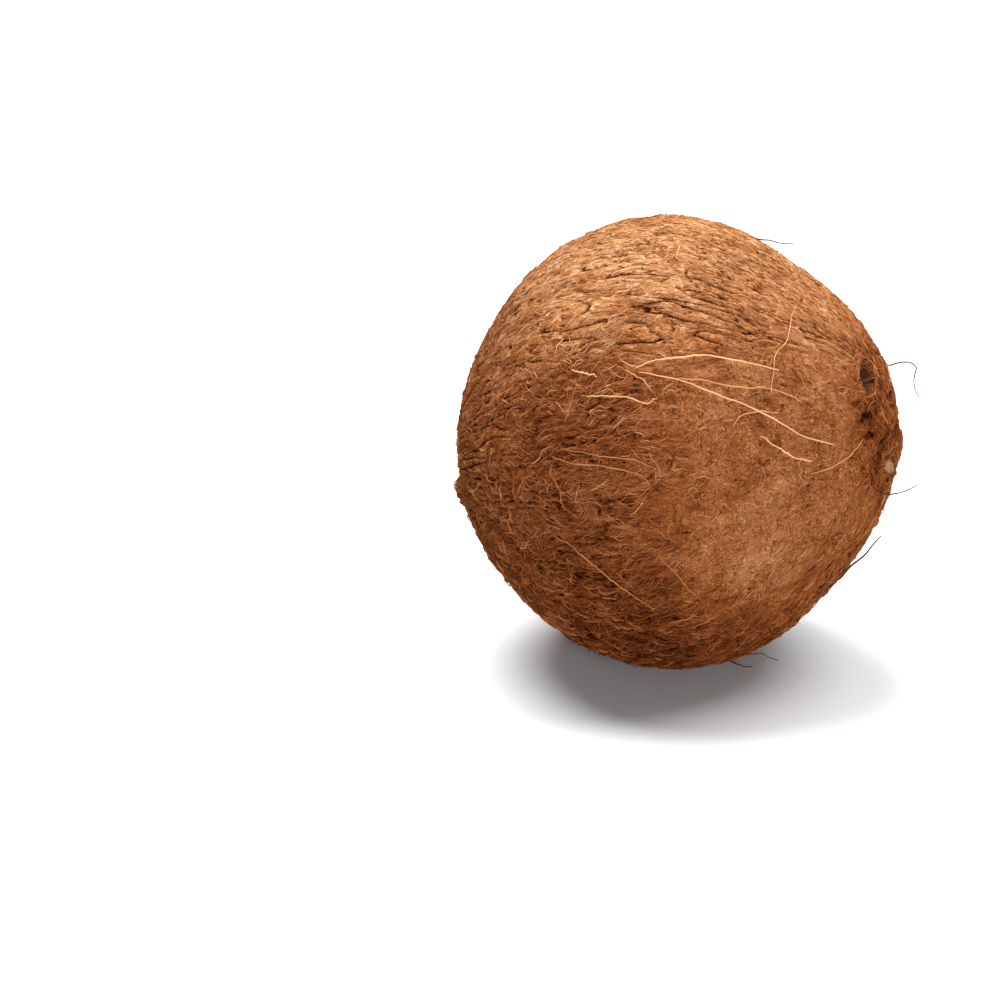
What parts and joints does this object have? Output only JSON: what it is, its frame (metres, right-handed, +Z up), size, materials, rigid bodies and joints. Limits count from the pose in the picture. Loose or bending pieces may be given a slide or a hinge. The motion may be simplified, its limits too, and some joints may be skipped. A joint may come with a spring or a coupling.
{
  "type": "coconut",
  "caption": "Whole mature coconut out of its husk, a round fibrous brown nut with soft germination pits at its blunt tip, lying on its side.",
  "frame": {"origin": "middle of the nut's bounding box in X and Y, at the height of the flat spot it rests on", "axes": "+Z up, out of the surface it rests on; +X the way the eye end points, seen from above; the long axis is raised 13 degrees out of the horizontal towards +X"},
  "size_m": [0.1172, 0.1196, 0.1175],
  "materials": {
    "coconut_fibre": "dry matted brown coir fibre, matt, with paler tan strands"
  },
  "bodies": {
    "root": {"coconut": "coconut_fibre"}
  },
  "joints": []
}
